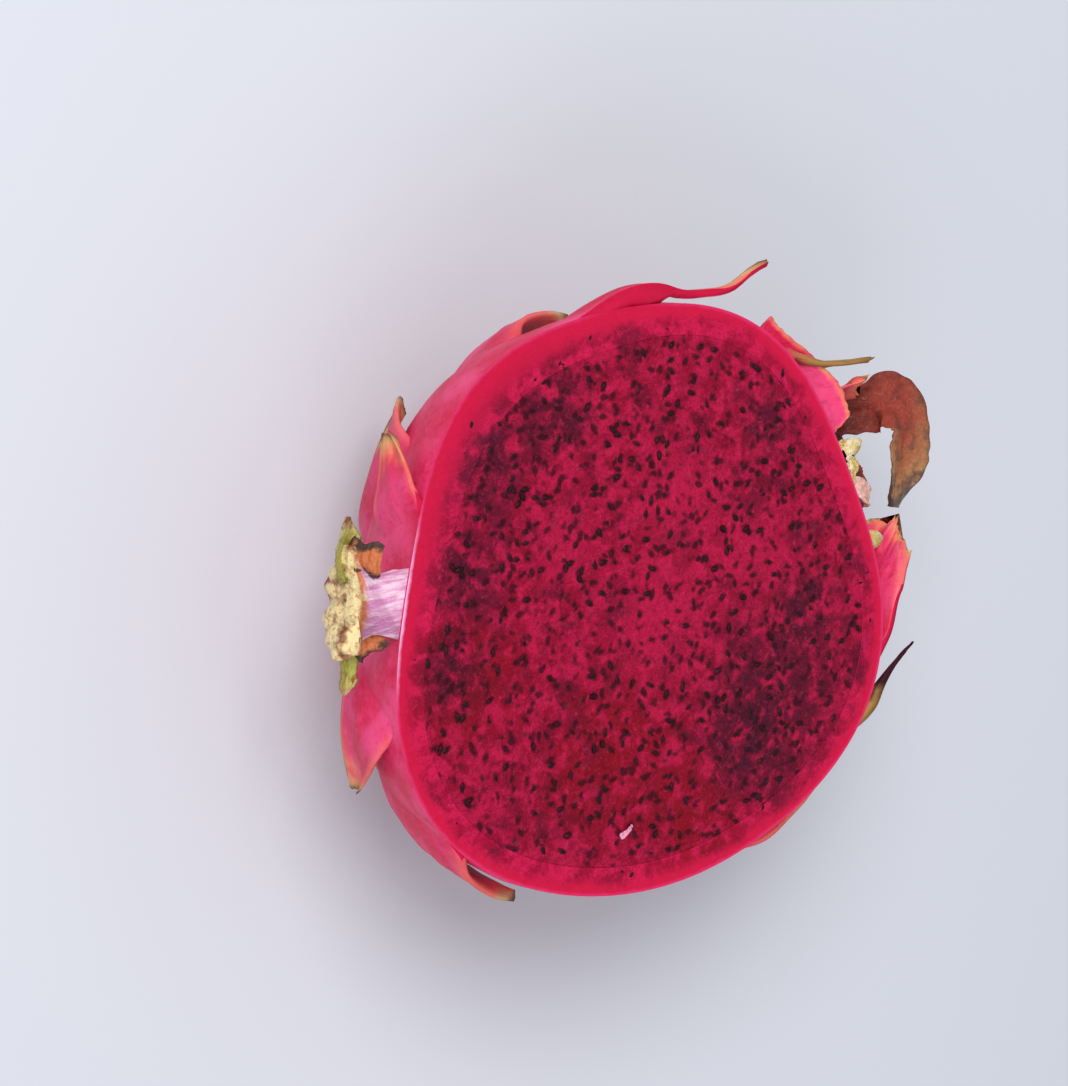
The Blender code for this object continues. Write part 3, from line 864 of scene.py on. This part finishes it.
def seed_shade(point):
    """1 at the middle of the nearest seed, falling off sooner across it than along it."""
    place, index, _ = finder.find(point)
    _, turn, _, chance = seeds[index]
    off = point - place
    along = off.x * math.cos(turn) + off.y * math.sin(turn)
    across = off.y * math.cos(turn) - off.x * math.sin(turn)
    return (0.45 + 0.55 * chance) * math.exp(-((along / SHADE_LENGTH) ** 2) - (across / SHADE_WIDTH) ** 2)


def pulp_height(point, shade):
    torn = roughly(point, TEAR_SIZE, 2.0) * 0.6 + roughly(point, FIBRE_SIZE, 4.0) * 0.4
    slow = roughly(point, PULP_SWELL_SIZE, 1.0) * 0.8
    return (torn + slow - 0.35 * shade) * PULP_RELIEF


def make_pulp_rows():
    turns = [2 * math.pi * spoke / FACE_SPOKES for spoke in range(FACE_SPOKES)]
    rows = []
    for ring in range(FACE_RINGS + 1):
        share = (ring / FACE_RINGS) ** RING_SPREAD
        row = []
        for turn in turns:
            direction = ring_point(turn)
            wall = wall_thickness(direction)
            edge = surface(direction, wall)
            point = Vector((edge.x * share, edge.y * share, FACE))
            depth = math.hypot(edge.x, edge.y) * (1 - share)
            shade = seed_shade(point)
            point.z += pulp_height(point, shade) * smoothstep(depth / RELIEF_FADE) - PULP_SUNK
            row.append((point, {"inset": (wall + depth) / CM, "into": depth / CM, "halo": shade}))
        rows.append(row)
    for ring in range(1, DOME_RINGS + 1):
        fall = math.pi / 2 * ring / DOME_RINGS
        row = []
        for turn in turns:
            direction = ring_point(turn, math.cos(fall), -math.sin(fall))
            inset = wall_thickness(direction) + DOME_GAP
            row.append((surface(direction, inset), {"inset": inset / CM, "into": 0.0, "halo": 0.0}))
        rows.append(row)
    return rows


# %% [markdown]
# ## The finish of the pulp
# The colour rule is shared with the peel. Round each seed the pulp is darker, because the
# seed shows through a clear sac of juice. The film of juice is a thin coat over the flesh,
# broken up so that it glints in small points and not in one big highlight.


# %% Pulp material and piece
SUNK_SEED = srgb("2E0816")


def pulp_material():
    made, start, shader = new_material("pulp_flesh")
    place = place_of(start)
    halo = mark(start, "halo")
    ragged = place.noise(1100, 3, 0.6) - 0.5
    near = 1 - place.cells(420).ramp(0.10, 0.36)
    hidden = near * place.noise(240, 2).ramp(0.48, 0.60) * mark(start, "into").ramp(0.02, 0.15)
    colour = flesh_colour(start)
    colour = (hidden * 0.6).paint(colour, SUNK_SEED)
    colour = ((halo + ragged * 0.9).ramp(0.20, 0.72) * 0.85).paint(colour, SUNK_SEED)
    fibres = place.noise(1500, 5, 0.7, 1.5)
    wet = place.noise(800, 3, 0.6).ramp(0.60, 0.70)
    feed(shader, "Base Color", colour)
    feed(shader, "Roughness", 0.55 - wet * 0.2)
    feed(shader, "Coat Weight", wet * 0.35)
    feed(shader, "Coat Roughness", 0.18)
    feed(shader, "Specular IOR Level", FLESH_SPECULAR)
    scatter(shader)
    relief = fibres + place.noise(3000, 3, 0.6) * 0.5 + place.cells(900) * 0.5
    feed(shader, "Normal", bump(relief, 0.0006, 0.8))
    return made


def make_pulp():
    bm = loft(make_pulp_rows())
    tidy(bm)
    piece("pulp_flesh", bm, pulp_material(), "pulp", "pulp")


make_pulp()

# %% [markdown]
# ## The seeds
# Each seed is a small drop, blunt at one end and pointed at the other, with a soft sheen and
# almost black. They lie at random angles, some nearly flat and some tipped up, and each is sunk
# by a different amount, so that some show as drops and some as dots. Many lie too deep and
# only darken the pulp, and a slow noise leaves some places bare, so the rest form loose groups.

# %% Seed material and pieces
SEED_BLACK = srgb("22070F")
SEED_BROWN = srgb("4C0E20")
SEED_RINGS = 6
SEED_SPOKES = 8
SEED_SLIMNESS = 0.52
SLIMMEST = 0.6
SEED_FLATNESS = 0.40
# For the least sunk seed, then what the most sunk one has more: tilt in degrees, depth in mm
SEED_TILT = (-14, 50)
SEED_SINK = (0.05, 0.42)


def seed_material():
    made, start, shader = new_material("seed_black")
    place = place_of(start)
    colour = (place.noise(900, 2).ramp(0.5, 0.7) * 0.6).paint(SEED_BLACK, SEED_BROWN)
    feed(shader, "Base Color", colour)
    feed(shader, "Roughness", 0.35 + place.noise(1500, 2) * 0.2)
    feed(shader, "Specular IOR Level", 0.12)
    return made


def seed_rows(length):
    rows = []
    for r in range(SEED_RINGS + 1):
        t = r / SEED_RINGS
        girth = math.sin(math.pi * t) * (1.15 - 0.45 * t)
        row = []
        for k in range(SEED_SPOKES):
            turn = 2 * math.pi * k / SEED_SPOKES
            across = girth * length / 2 * SEED_SLIMNESS * math.cos(turn)
            up = girth * length / 2 * SEED_FLATNESS * math.sin(turn)
            row.append((Vector(((t - 0.5) * length, across, up)), {"inset": 0.0}))
        rows.append(row)
    return rows


def make_seeds():
    meshes = []
    for point, turn, length, chance in seeds:
        if chance < 1 - SHOWN_SHARE or roughly(point, CLUSTER_SIZE, 9.0) < CLUSTER_CUT:
            continue
        sunk = (1 - chance) / SHOWN_SHARE
        tilt = math.radians(SEED_TILT[0] + SEED_TILT[1] * sunk)
        sink = (SEED_SINK[0] + SEED_SINK[1] * sunk) * MM
        stand = Matrix.Translation(point - Vector((0, 0, sink))) @ Matrix.Rotation(turn, 4, "Z")
        stand = stand @ Matrix.Rotation(tilt, 4, "Y")
        slim = SLIMMEST + (1 - SLIMMEST) * smoothstep(2.5 * abs(math.sin(7 * turn)))
        stand = stand @ Matrix.Diagonal((1, slim, 1, 1))
        meshes.append(loft([[(stand @ p, m) for p, m in row] for row in seed_rows(length)]))
    print(len(meshes), "seeds show")
    gather("pulp_seeds", meshes, FACE + MM, seed_material(), "pulp", "pulp")


make_seeds()

# %% [markdown]
# ## The stem stub
# Where the fruit was pulled from the plant, a short pale neck is left. It has lengthwise
# ridges, and widens to a torn, cream-coloured scar. It is a turned shape, so it is lofted from
# rings whose radius follows a smooth curve through a few given points, and a ragged
# wave is added to its rim. The knife halved it with the rest. First come the tools that the
# stub and the flower share. The marks "shade" and "pale" pick a colour: "shade" tells a strip
# from a turned shape, and "pale" picks the second colour of either.


# %% Turned shapes with torn edges
TEAR_WAVES = (3, 5, 8, 13)


def dry_marks(rise, side=0.0, shade=0.0, pale=0.0):
    return {"rise": rise, "side": side, "shade": shade, "pale": pale}


def dry_wires(start):
    return [mark(start, name) for name in dry_marks(0.0)]


def draw_phases(draw):
    return [draw.uniform(0, 2 * math.pi) for _ in TEAR_WAVES]


def tear_at(turn, phases):
    """How far a torn rim stands out at this turn, from about -1 to 1."""
    waves = enumerate(zip(TEAR_WAVES, phases))
    return sum(math.sin(count * turn + phase) / (1 + 0.3 * i) for i, (count, phase) in waves) / 2


def end_stand(along):
    """The matrix that stands a turned piece on the stem end (0) or the flower end (1)."""
    direction = skin_direction(along, 0)
    return Matrix.Translation(surface(direction)) @ direction.to_track_quat("Z", "Y").to_matrix().to_4x4()


def turned_rows(profile, steps, spokes, shape):
    """Rings along the profile, of which each point is placed by the shape rule."""
    points = [Vector((radius * MM, height * MM)) for radius, height in profile]
    rows = []
    for r in range(steps + 1):
        share = r / steps
        radius, height = smooth_path(points, share)
        row = []
        for k in range(spokes):
            turn = 2 * math.pi * k / spokes
            row.append(shape(turn, radius, height, share))
        rows.append(row)
    return rows


print("turned shapes ready")

# %% [markdown]
# ## Dry strips
# The scales on the stub, the sepals of the flower, the withered bract and the torn one are
# strips along a curve. Each is thin, rolled a little across its width, uneven along its edges
# and crinkled where it dried. A strip is written as its width and the points of its middle
# line, in mm, with z counted from the cut face. Where the solids have it, the numbers agree.

# %% A strip along a curve
STRIP_STEPS = 22
STRIP_COLUMNS = 14
STRIP_TWIST = 0.9
STRIP_ROLL = 0.22
STRIP_NARROWING = 0.75


def strip_marks(shade, pale):
    """A rule for the marks of a strip, from how far along and across a point lies."""

    def marks_of(s, across):
        return dry_marks(s, abs(across), shade, pale)

    return marks_of


def torn_marks(s, across):
    """Pink, with a cream torn edge on the outer side and at the end."""
    edge = smoothstep((-across - 0.45) / 0.5)
    end = smoothstep((s - 0.85) / 0.15)
    return rind_marks(BRACT_INSET, BRACT_INTO, tip=0.30 + 0.56 * max(edge, end))


def strip_mesh(strip, thickness, draw, crinkle, marks_of, narrows_from=0.7):
    width, middle_line = strip
    width = width * MM
    points = [Vector((x * MM, y * MM, FACE + z * MM)) for x, y, z in middle_line]
    phase = draw.uniform(0, 2 * math.pi)
    twist = draw.uniform(-STRIP_TWIST, STRIP_TWIST)
    rows = []
    steps = STRIP_STEPS * (len(points) - 1)
    for r in range(steps + 1):
        s = r / steps
        here = smooth_path(points, s)
        ahead = smooth_path(points, min(s + 0.02, 1)) - smooth_path(points, max(s - 0.02, 0))
        run = ahead.normalized()
        flat = run.cross(Vector((0.3, 0.1, 1))).normalized()
        flat = Matrix.Rotation(twist * s * s, 3, run) @ flat
        up = run.cross(flat)
        narrowing = 1 - STRIP_NARROWING * smoothstep((s - narrows_from) / (1 - narrows_from))
        ragged = 1 + 0.16 * math.sin(9 * s + phase) + 0.10 * roughly(Vector((s * 30, phase, 0)), 1.0)
        half_width = width / 2 * narrowing * ragged
        top = []
        under = []
        for c in range(STRIP_COLUMNS + 1):
            across = 2 * c / STRIP_COLUMNS - 1
            rolled = -STRIP_ROLL * width * across * across * narrowing
            furrow = crinkle * roughly(Vector((s * 9, across * 3.4, phase)), 1.0)
            furrow += 0.4 * crinkle * roughly(Vector((s * 34, across * 7, phase)), 1.0)
            middle = here + flat * across * half_width + up * (rolled + furrow)
            half = thickness / 2 * (1 - 0.5 * across**4) * (1 - 0.4 * s)
            marks = marks_of(s, across)
            top.append((middle + up * half, marks))
            under.append((middle - up * half, marks))
        rows.append(top + under[::-1])
    return loft(rows)


LEAF = strip_marks(1.0, 0.0)
print("strips ready")

# %% Stub profile, finish and piece
# Radius and height in mm, from the neck's root over the rim into the scar
STUB_PROFILE = (
    (5.2, -1.6), (5.0, 0.6), (4.5, 2.6), (4.2, 5.2), (5.6, 7.2),
    (8.0, 8.0), (8.0, 9.0), (5.6, 9.2), (3.4, 8.4),
)
STUB_STEPS = 60
STUB_SPOKES = 110
STUB_RIDGES = 7
STUB_RIDGE_HEIGHT = 0.35 * MM
STUB_ROUGHNESS = 0.25 * MM
STUB_TEAR = 0.9 * MM
# The torn rim begins at the first height and is at its full depth at the second
STUB_RIM = (5.4 * MM, 9.0 * MM)
STUB_SEED = 5
STUB_SCALES = (
    (6.0, ((-50.8, 12.5, -3.0), (-50.5, 17.0, -3.2), (-49.0, 21.5, -3.6))),
    (3.6, ((-51.6, 3.5, -4.0), (-51.8, -0.6, -5.0), (-52.0, -4.5, -6.0))),
)
STUB_SCALE_THICKNESS = 1.2 * MM
STUB_SCALE_CRINKLE = 0.25 * MM
# The end pieces stop this far under the face, so that the peel's cut band covers their roots
END_CLEARANCE = 0.35 * MM
STUB_PINK = srgb("C47CA8")
STUB_WHITE = srgb("E2BFD0")
STUB_CREAM = srgb("D9C690")
STUB_GREEN = srgb("A9AE4C")
STUB_ORANGE = srgb("B5602F")
STUB_BROWN = srgb("6B3B1E")
# Painted shade, the darkest colour of the hollow strips
STUB_HOLLOW_SHADE = srgb("3A2218")
# Strips that stand for the hollows on both sides of the neck: orange brown, darkening with painted shade
# toward their edges
STUB_WALLS = (
    (4.8, ((-45.8, 14.2, -1.6), (-48.4, 15.2, -2.2), (-50.8, 16.2, -1.8))),
    (3.8, ((-47.0, 4.2, -1.6), (-49.4, 3.4, -2.2), (-51.8, 2.6, -1.8))),
)
STUB_WALL_CRINKLE = 0.35 * MM


def stub_material():
    made, start, shader = new_material("stub_cream")
    place = place_of(start)
    rise, side, shade, pale = dry_wires(start)
    streaks = place.stretched(0.2, 1, 1).noise(900, 4, 0.6)
    neck = streaks.ramp(0.4, 0.65).paint(STUB_PINK, STUB_WHITE)
    blotch = place.noise(380, 3).ramp(0.45, 0.65)
    hollow = blotch.paint(STUB_ORANGE, STUB_CREAM)
    under_rim = (blotch * 0.35).paint(STUB_CREAM, STUB_BROWN)
    crumbs = place.noise(1500, 3).ramp(0.52, 0.66) * 0.7
    rim = crumbs.paint(blotch.paint(STUB_CREAM, STUB_BROWN), STUB_ORANGE)
    uneven = rise + (blotch - 0.5) * 0.1
    body = (rise + (streaks - 0.5) * 0.2).ramp(0.45, 0.62).paint(neck, hollow)
    body = uneven.ramp(0.66, 0.78).paint(body, under_rim)
    body = uneven.ramp(0.60, 0.70).paint(body, rim)
    edge = side.ramp(0.75, 1.0) * 0.6
    # The hollow strips: orange brown in the middle, with painted shade darkening them toward their edges
    wall = (side + (blotch - 0.5) * 0.4).ramp(0.35, 0.85).paint(STUB_ORANGE, STUB_HOLLOW_SHADE)
    scale = (rise + (blotch - 0.5) * 0.3).ramp(0.5, 0.95).paint(STUB_GREEN, rim)
    scale = pale.paint(edge.paint(scale, STUB_BROWN), wall)
    feed(shader, "Base Color", shade.paint(body, scale))
    feed(shader, "Roughness", 0.5 + blotch * 0.2)
    scatter(shader, 0.1, (0.003, 0.0015, 0.001), 0.5)
    feed(shader, "Normal", bump(streaks + place.noise(2600, 3) * 0.4, 0.0004, 0.7))
    return made


def make_stub():
    stand = end_stand(0)
    draw = random.Random(STUB_SEED)
    phases = draw_phases(draw)
    rim_from, rim_to = STUB_RIM

    def shape(turn, radius, height, share):
        near_rim = smoothstep((height - rim_from) / (rim_to - rim_from))
        ridge = STUB_RIDGE_HEIGHT * math.cos(STUB_RIDGES * turn) * (1 - near_rim) * smoothstep(height / MM)
        torn = STUB_TEAR * tear_at(turn, phases) * near_rim
        rough = STUB_ROUGHNESS * roughly(ring_point(turn, 3, height / MM), 1.0) * near_rim
        point = stand @ ring_point(turn, radius + ridge + torn + rough, height + torn + rough)
        return point, dry_marks(share)

    scale = (STUB_SCALE_THICKNESS, draw, STUB_SCALE_CRINKLE, LEAF)
    wall = (STUB_SCALE_THICKNESS, draw, STUB_WALL_CRINKLE, strip_marks(1.0, 1.0), 0.9)
    meshes = [loft(turned_rows(STUB_PROFILE, STUB_STEPS, STUB_SPOKES, shape))]
    meshes += [strip_mesh(strip, *scale) for strip in STUB_SCALES]
    meshes += [strip_mesh(strip, *wall) for strip in STUB_WALLS]
    gather("stem_scar", meshes, FACE - END_CLEARANCE, stub_material(), "stem_stub", "stem_stub")


make_stub()

# %% [markdown]
# ## The withered flower
# At the other end a dry ring of tissue is left where the flower stood, with two small sepals
# that dried brown and curled. The ring is turned like the stub and torn along its edge, with
# crumbs of tissue at its cut end. The sepals go from maroon at the root through brick red to
# tan, with a grey tip. A long withered bract beside them has the same finish, and a torn pink
# one has that of the rind. In the solids both bracts are part of the rind.

# %% Flower ring, sepals and finish
SCAR_PROFILE = ((8.8, -1.4), (9.4, 1.2), (8.6, 3.2), (7.0, 2.6), (6.2, 0.6), (6.0, -1.4))
SCAR_STEPS = 50
SCAR_SPOKES = 160
SCAR_ROUGHNESS = 0.5 * MM
SCAR_TEAR = 0.8 * MM
SCAR_SEED = 8
SEPALS = (
    (4.2, ((45.5, 4.5, -6.5), (51, 6.6, -8.8), (56, 8, -14), (59, 11, -19))),
    (3.4, ((45.2, 9.5, -8.2), (50.5, 10.5, -12.5), (54.5, 13.5, -17), (57, 18, -20))),
)
# The withered bract and the torn one
STRIP_BRACTS = (
    (9.0, (
        (36.8, 17.0, -16.0), (44.0, 18.5, -17.0), (50.0, 19.5, -14.5), (54.5, 20.0, -11.5),
        (58.5, 20.5, -9.0), (61.3, 17.0, -7.5), (60.5, 10.5, -8.0), (58.8, 3.0, -9.0),
    )),
    (6.5, ((29.5, 36.0, -3.6), (35.0, 31.0, -2.9), (40.3, 24.4, -2.7), (43.2, 19.0, -2.9))),
)
STRIP_BRACT_SEED = 3
DRY_THICKNESS = 1.1 * MM
DRY_CRINKLE = 0.45 * MM
SEPAL_SEED = 3
# Crumbly tissue left at the cut end of the ring: how pink it is, then the strip
TISSUE = (
    (0.0, 2.6, ((41.0, 16.5, -0.9), (43.4, 13.2, -0.8), (43.6, 9.6, -0.9))),
    (0.5, 3.4, ((42.6, 10.0, -2.6), (45.6, 8.6, -1.4), (47.4, 5.6, -2.2))),
    (1.0, 3.6, ((40.6, 9.6, -0.6), (42.2, 6.4, -0.5), (42.6, 2.8, -0.6))),
)
TISSUE_THICKNESS = 1.0 * MM
TISSUE_SEED = 4
TISSUE_PINK = srgb("E79AB8")
SEPAL_MAROON = srgb("4A0F12")
SEPAL_BRICK = srgb("93301F")
SEPAL_TAN = srgb("A8794B")
SEPAL_GREY = srgb("6F6A5E")
RING_TAN = srgb("CDAE62")
RING_CREAM = srgb("EAD9AE")


def withered_material():
    made, start, shader = new_material("withered_leaf")
    place = place_of(start)
    rise, side, shade, pale = dry_wires(start)
    fibres = place.noise(1500, 4, 0.65, 0.8)
    blotch = place.noise(330, 4, 0.6)
    along = rise + (blotch - 0.5) * 0.35
    leaf = along.ramp(0.25, 0.60).paint(SEPAL_MAROON, SEPAL_BRICK)
    leaf = (along + side * 0.15).ramp(0.72, 1.05).paint(leaf, SEPAL_TAN)
    leaf = (along + side * 0.05).ramp(0.92, 1.05).paint(leaf, SEPAL_GREY)
    leaf = (fibres.ramp(0.52, 0.7) * 0.30).paint(leaf, SEPAL_TAN)
    leaf = (blotch.ramp(0.46, 0.66) * 0.6).paint(leaf, SEPAL_MAROON)
    ring = blotch.ramp(0.42, 0.6).paint(RING_TAN, RING_CREAM)
    ring = (fibres.ramp(0.55, 0.7) * 0.5).paint(ring, SEPAL_BRICK)
    ring = pale.paint(ring, TISSUE_PINK)
    feed(shader, "Base Color", shade.paint(ring, leaf))
    feed(shader, "Roughness", 0.72 - fibres * 0.12)
    feed(shader, "Normal", bump(fibres + blotch * 0.8, 0.0005, 0.9))
    return made


def make_flower():
    stand = end_stand(1)
    draw = random.Random(SCAR_SEED)
    phases = draw_phases(draw)

    def shape(turn, radius, height, share):
        raised = smoothstep(height / (2 * MM))
        torn = SCAR_TEAR * tear_at(turn, phases) * raised
        rough = SCAR_ROUGHNESS * roughly(ring_point(turn, 6, height / MM), 1.0) * raised
        return stand @ ring_point(turn, radius, height + torn + rough), dry_marks(share)

    closed_profile = (*SCAR_PROFILE, SCAR_PROFILE[0])
    meshes = [loft(turned_rows(closed_profile, SCAR_STEPS, SCAR_SPOKES, shape))]
    sepal = (DRY_THICKNESS, random.Random(SEPAL_SEED), DRY_CRINKLE, LEAF)
    meshes += [strip_mesh(strip, *sepal) for strip in SEPALS]
    crumb = (TISSUE_THICKNESS, random.Random(TISSUE_SEED), DRY_CRINKLE)
    meshes += [strip_mesh(strip, *crumb, strip_marks(0.0, pale)) for pale, *strip in TISSUE]
    height = FACE - END_CLEARANCE
    gather("dry_flower", meshes, height, withered_finish, "withered_flower", "withered_flower")


def make_strip_bracts():
    draw = random.Random(STRIP_BRACT_SEED)
    looks = (
        ("dry_bract", (2 * DRY_CRINKLE, LEAF, 0.86), withered_finish, "withered_flower"),
        ("torn_bract", (DRY_CRINKLE, torn_marks, 0.92), rind_finish, "rind"),
    )
    for strip, (name, look, finish, slot) in zip(STRIP_BRACTS, looks):
        leaf = strip_mesh(strip, DRY_THICKNESS, draw, *look)
        gather(name, [leaf], FACE - END_CLEARANCE, finish, "rind", slot)


withered_finish = withered_material()
make_flower()
make_strip_bracts()

# %% [markdown]
# ## A loose flake
# The knife left one thin pale flake of flesh lying on the pulp. It is a short strip too.

# %% Flake
FLAKE = (0.9, ((-10.4, -35.6, 0.1), (-9.2, -35.0, 0.3), (-8.0, -34.2, 0.25)))
FLAKE_THICKNESS = 0.3 * MM
FLAKE_CRINKLE = 0.2 * MM
FLAKE_SEED = 2


def make_flake():
    draw = random.Random(FLAKE_SEED)
    leaf = strip_mesh(FLAKE, FLAKE_THICKNESS, draw, FLAKE_CRINKLE, strip_marks(0.0, 1.0))
    gather("pulp_flake", [leaf], FACE + MM, withered_finish, "pulp", "pulp")


make_flake()

# %% [markdown]
# ## Sizes
# The last cell notes the box of the solids and the box of the dressed model, so that the two
# can be compared.

# %% Sizes and finish
new_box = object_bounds()
boxes = {"cad": cad_box, "visual": new_box}
{name: [[float(number) for number in corner] for corner in box] for name, box in boxes.items()}
